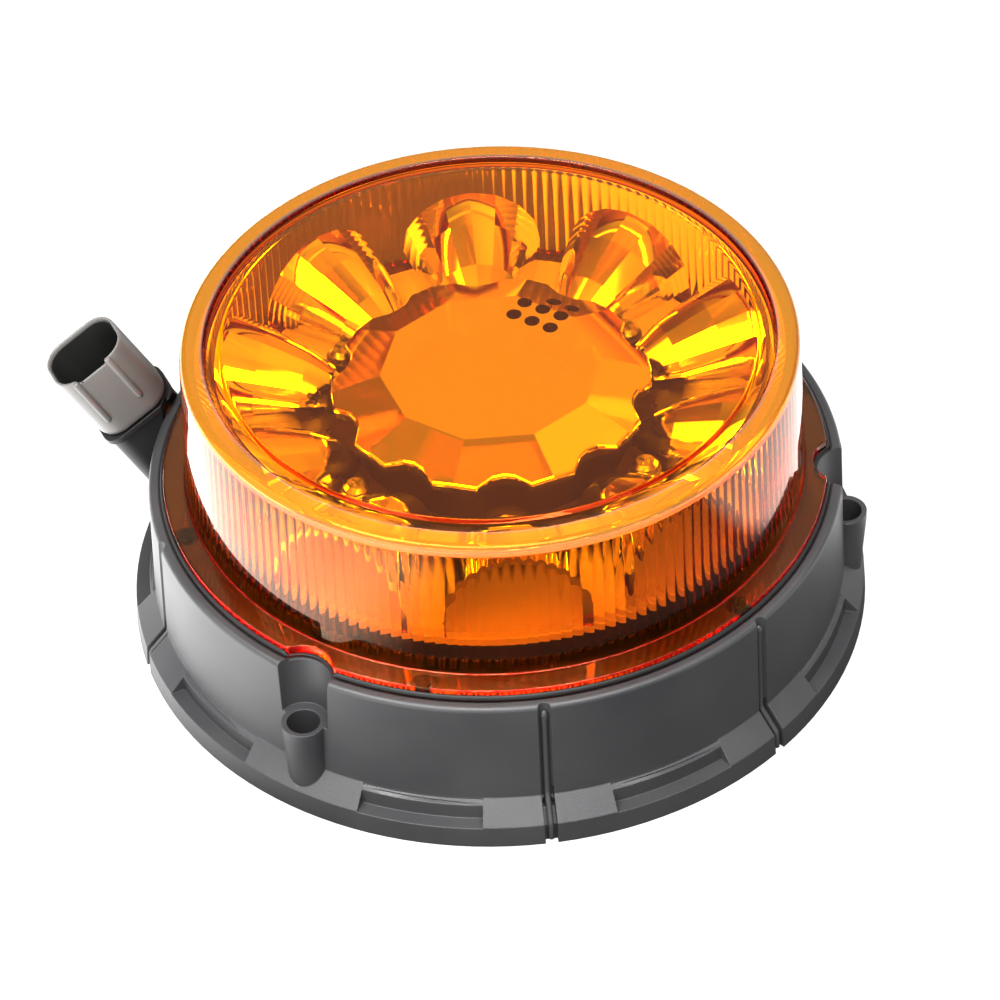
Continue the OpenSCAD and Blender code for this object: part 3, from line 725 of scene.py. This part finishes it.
# Steps outwards from the lens flange and up from the lip's foot
LIP_OUTLINE = ((0.04, 0.0), (0.04, 0.95), (0.3, 1.0), (0.55, 0.85), (0.72, 0.4), (0.75, 0.0))
LIP_BITE_HEIGHT = 0.15                     # share of the height left at the bolt cut-outs
LIP_COLUMNS = 720


def gasket_lip():
    """The gasket's black edge, squeezed out round the foot of the lens flange."""
    rings = []
    for outwards, height in LIP_OUTLINE:
        ring = []
        for k in range(LIP_COLUMNS):
            deg = 360 * k / LIP_COLUMNS
            r = bite(deg)
            share = LIP_BITE_HEIGHT if r < FLANGE_R else 1.0
            ring.append(polar(r + outwards, deg, LIP_FOOT + height * share))
        rings.append(ring)
    return loft(rings, closed=True)


piece("gasket_lip", gasket_lip(), rubber, 40)


# ---------- grooves of the base ----------

GROOVES = (40, 80, 200, 280, 320)
# Rib's centre line as radius and height, from the bead at its top down to the flange's edge
RIB_PATH = ((72.1, 31.6), (72.2, 28.0), (72.66, 10.2), (72.95, 9.1), (76.75, 4.95), (77.0, 4.3),
            (77.1, 0.7))
RIB_R = 0.62
RIB_SIDES = 14
# Share of the rib's size, and height over the bead's foot
BEAD_SIZES = ((0.02, 1.5), (0.6, 1.35), (0.95, 1.0), (1.15, 0.6), (1.25, 0.3), (1.22, 0.0))
BEAD_SINK = 0.9                            # the bead's foot lies this far down the centre line


def groove_rib(deg):
    """A half-round rib with a beaded top that runs down a groove and over the flange."""
    out, across = direction(deg), direction(deg + 90)
    path = [Vector(spot) for spot in RIB_PATH]
    down = (path[1] - path[0]).normalized()
    stations = [(path[0] - down * (lift - BEAD_SINK), size) for size, lift in BEAD_SIZES]
    stations += [(spot, 1.0) for spot in path[1:]]
    rings = []
    for i, (spot, size) in enumerate(stations):
        run = down
        if i >= len(BEAD_SIZES):
            after = stations[min(i + 1, len(stations) - 1)][0]
            run = (after - stations[i - 1][0]).normalized()
        side = out * -run.y + Vector((0, 0, run.x))
        centre = out * spot.x + Vector((0, 0, spot.y))
        ring = []
        for k in range(RIB_SIDES):
            turn = 2 * math.pi * k / RIB_SIDES
            spoke = side * math.cos(turn) + across * math.sin(turn)
            ring.append((centre + spoke * RIB_R * size) * MM)
        rings.append(ring)
    return loft(rings)


piece("groove_ribs", joined(groove_rib(deg) for deg in GROOVES), charcoal, 40)


# ---------- connector ----------

PLUG_AT = (-70.288, 21.489, 18.6)          # where the plug's axis leaves the base
PLUG_TURN = (198.0, 28.0, 8.6)             # about Z, then Y, then its own axis
SHELL_W = 17.3
SHELL_H = 13.9
SHELL_CORNER = 5.2
SHELL_REAR = 18.0                          # this and the next two are heights along the plug's axis
MOUTH_FLOOR = 22.6
MOUTH = 37.5
SHELL_RIB_R = 0.7
SHELL_RIB_LEN = 14.0
SHELL_RIB_TIP = 1.2                        # length of a rib's rounded lower end
SHELL_RIB_SIDES = 12
RIB_MID = 0.9                              # the two ribs lie evenly about this line
RIB_GAP = 8.5
NOTCH_WIDTH = RIB_GAP - 1.8                # the mouth's notch, between the ribs
NOTCH_DEPTH = 1.1
# Heights along the axis, steps inwards from the outline, and shares of the notch's depth
RECEPTACLE_RINGS = (
    (SHELL_REAR, 2.0, 0), (SHELL_REAR + 0.25, 1.0, 0), (SHELL_REAR + 0.8, 0.35, 0),
    (SHELL_REAR + 1.7, 0.05, 0), (SHELL_REAR + 2.6, 0, 0), (MOUTH - 1.6, 0, 0),
    (MOUTH - 0.3, 0.02, 1), (MOUTH - 0.08, 0.1, 1), (MOUTH, 0.3, 1), (MOUTH - 0.08, 0.52, 1),
    (MOUTH - 0.35, 0.65, 1), (MOUTH - 1.8, 0.7, 0), (MOUTH_FLOOR, 0.9, 0))
# A dark sheet just inside the receptacle: painted shade of its inside
SHADE_SHEET_RINGS = (
    (MOUTH_FLOOR - 0.4, 1.6, 0), (MOUTH_FLOOR - 0.4, 0.9, 0), (MOUTH - 0.9, 0.62, 1),
    (MOUTH - 0.75, 0.72, 1), (MOUTH - 0.9, 0.84, 1), (MOUTH_FLOOR + 0.3, 1.5, 0))


def plug_matrix():
    az, tilt, roll = (math.radians(v) for v in PLUG_TURN)
    return (Matrix.Translation(Vector(PLUG_AT)) @ Matrix.Rotation(az, 4, "Z")
            @ Matrix.Rotation(tilt, 4, "Y") @ Matrix.Rotation(roll, 4, "Z"))


PLUG = plug_matrix()


def rounded_outline(inset, steps=10, side=6):
    """Points of the shell's outline, moved inwards by inset: four arcs and the sides between."""
    corner = max(SHELL_CORNER - inset, 0.6)
    x, y = SHELL_W / 2 - inset - corner, SHELL_H / 2 - inset - corner
    arcs = [arc(cx, cy, corner, start, start + 90, steps)
            for cx, cy, start in ((x, y, 0), (-x, y, 90), (-x, -y, 180), (x, -y, 270))]
    pts = []
    for bend, next_bend in zip(arcs, arcs[1:] + arcs[:1]):
        (ax, ay), (bx, by) = bend[-1], next_bend[0]
        pts += bend
        pts += [(ax + (bx - ax) * i / side, ay + (by - ay) * i / side) for i in range(1, side)]
    return pts


def shell_loft(rings):
    """Verts and faces of rounded rings along the plug's axis, with a notch in the mouth."""
    spots = []
    for height, inset, share in rings:
        ring = []
        for x, y in rounded_outline(inset):
            in_notch = y > 0 and abs(x - RIB_MID) < NOTCH_WIDTH / 2
            drop = NOTCH_DEPTH * share if in_notch else 0.0
            ring.append(PLUG @ Vector((x, y, height - drop)) * MM)
        spots.append(ring)
    return loft(spots)


def shell_rib(x):
    """A rib along the shell's upper side, with a round lower end."""
    foot = MOUTH - SHELL_RIB_LEN + SHELL_RIB_TIP
    stations = [(MOUTH, 0.55), (MOUTH - 0.12, 0.85), (MOUTH - 0.4, 1.0), (foot, 1.0)]
    for turn in (30, 55, 75, 88):
        a = math.radians(turn)
        stations.append((foot - SHELL_RIB_TIP * math.sin(a), math.cos(a)))
    rings = []
    for height, size in stations:
        ring = []
        for k in range(SHELL_RIB_SIDES):
            a = 2 * math.pi * k / SHELL_RIB_SIDES
            spot = Vector((x + SHELL_RIB_R * 1.05 * size * math.cos(a),
                           SHELL_H / 2 + SHELL_RIB_R * size * math.sin(a), height))
            ring.append(PLUG @ spot * MM)
        rings.append(ring)
    return loft(rings)


piece("connector_receptacle",
      joined([shell_loft(RECEPTACLE_RINGS), shell_rib(RIB_MID - RIB_GAP / 2),
              shell_rib(RIB_MID + RIB_GAP / 2)]),
      grey_nylon, 32, ["connector_shell"])
# Painted shade inside the receptacle, as a dark sheet within its walls
piece("connector_shade_sheet", shell_loft(SHADE_SHEET_RINGS), shaded_nylon, 32)


# ---------- camera, lights and floor ----------

CAM_DISTANCE = 1.056
CAM_AZ = -86.0                             # where the camera stands, from +X
CAM_ELEVATION = 42.4
CAM_ROLL = -2.59
CAM_AIM = Vector((0.69, 0.05, 23.97)) * MM
LIGHTS_AIM = Vector((0, 0, 30)) * MM
FLOOR_HALF = 3.0
FLOOR_DROP = 0.0002                        # just under the lamp's feet

# A patch of light is a direction, the reach towards it where the patch starts and is full, and
# its strength. In the sky the reach is the cosine of the angle, and on the floor it is metres.
SKY_BASE = 0.13
SKY_PATCHES = ((direction(74, 44), 0.72, 0.92, 1.08),
               (direction(10, 45), 0.75, 0.95, 0.9),
               (direction(200, 45), 0.5, 0.95, 0.6),
               (direction(264, 34), 0.4, 0.95, 1.7),
               (direction(0, 90), 0.1, 1.0, 0.1))
FLOOR_BASE = 0.14
FLOOR_PATCHES = ((direction(190), 0.05, 0.10, 4.5),
                 (direction(35), 0.076, 0.088, 2.2))


def facing(back, roll_deg=0.0):
    """Rotation of something that looks along -back, with its top towards +Z before the roll."""
    right = Vector((0, 0, 1)).cross(back).normalized()
    up = back.cross(right)
    c, s = math.cos(math.radians(roll_deg)), math.sin(math.radians(roll_deg))
    x, y = right * c + up * s, up * c - right * s
    return Matrix((x, y, back)).transposed().to_4x4()


def camera():
    data = bpy.data.cameras.new("camera")
    data.lens = 180
    data.sensor_width = 36
    data.clip_end = 50
    obj = add_object("camera", data)
    back = direction(CAM_AZ, CAM_ELEVATION)
    obj.matrix_world = Matrix.Translation(CAM_AIM + back * CAM_DISTANCE) @ facing(back, CAM_ROLL)
    bpy.context.scene.camera = obj


def softbox(name, az, elevation, distance, width, height, radiance):
    """A rectangular light that faces the lamp. radiance is what a mirror would show of it."""
    data = bpy.data.lights.new(name, "AREA")
    data.shape = "RECTANGLE"
    data.size = width
    data.size_y = height
    data.energy = radiance * math.pi * width * height
    back = direction(az, elevation)
    place = Matrix.Translation(back * distance + LIGHTS_AIM)
    add_object(name, data).matrix_world = place @ facing(back)


def light_patch(nodes, links, vector, patch, base=0.0):
    """Rises softly from a base strength as the vector reaches into the patch."""
    toward, start, full, added = patch
    reach = nodes.new("ShaderNodeVectorMath")
    reach.operation = "DOT_PRODUCT"
    links.new(vector, reach.inputs[0])
    reach.inputs[1].default_value = toward
    return ramp(nodes, links, reach.outputs["Value"], base, base + added, start, full,
                smooth=True)


def patchy_light(nodes, links, vector, base, patches):
    """A base strength with a soft rise towards each patch."""
    strength = light_patch(nodes, links, vector, patches[0], base)
    for patch in patches[1:]:
        strength = combine(nodes, links, "ADD", strength,
                           light_patch(nodes, links, vector, patch))
    return strength


def world():
    """Dim surroundings with broad patches of light behind, right, left, in front and overhead."""
    scene_world = bpy.data.worlds.new("studio")
    scene_world.use_nodes = True
    nodes, links = scene_world.node_tree.nodes, scene_world.node_tree.links
    background = nodes["Background"]
    background.inputs["Color"].default_value = (1, 1, 1, 1)
    vector = nodes.new("ShaderNodeTexCoord").outputs["Generated"]
    links.new(patchy_light(nodes, links, vector, SKY_BASE, SKY_PATCHES),
              background.inputs["Strength"])
    bpy.context.scene.world = scene_world


def floor():
    """A floor that the camera sees as plain white.

    Other rays see it dim, and brighter beyond the lamp to the left and at the back right.
    """
    mat, nodes, links, bsdf = new_material("white_floor")
    set_inputs(bsdf, Base_Color=(0.05, 0.05, 0.05, 1), Roughness=0.7,
               Emission_Color=(1, 1, 1, 1), Specular_IOR_Level=0.1)
    seen = nodes.new("ShaderNodeMix")
    links.new(nodes.new("ShaderNodeLightPath").outputs["Is Camera Ray"], seen.inputs["Factor"])
    links.new(patchy_light(nodes, links, object_place(nodes), FLOOR_BASE, FLOOR_PATCHES),
              seen.inputs["A"])
    seen.inputs["B"].default_value = 1.0
    links.new(seen.outputs["Result"], bsdf.inputs["Emission Strength"])
    mesh = bpy.data.meshes.new("floor")
    corners = [(x * FLOOR_HALF, y * FLOOR_HALF, 0) for x, y in ((-1, -1), (1, -1), (1, 1), (-1, 1))]
    mesh.from_pydata(corners, [], [(0, 1, 2, 3)])
    mesh.materials.append(mat)
    obj = add_object("floor", mesh)
    obj.location.z = -FLOOR_DROP


camera()
softbox("key_left", 204, 52, distance=1.0, width=1.0, height=0.5, radiance=3.7)
softbox("front_right", 318, 52, distance=1.0, width=0.35, height=0.45, radiance=3.2)
softbox("front_high", 258, 60, distance=1.2, width=1.4, height=0.42, radiance=22.0)
world()
floor()
scene = bpy.context.scene
scene.view_settings.view_transform = "Standard"
scene.view_settings.gamma = 0.82
scene.cycles.max_bounces = 32
scene.cycles.transmission_bounces = 24
scene.cycles.glossy_bounces = 16
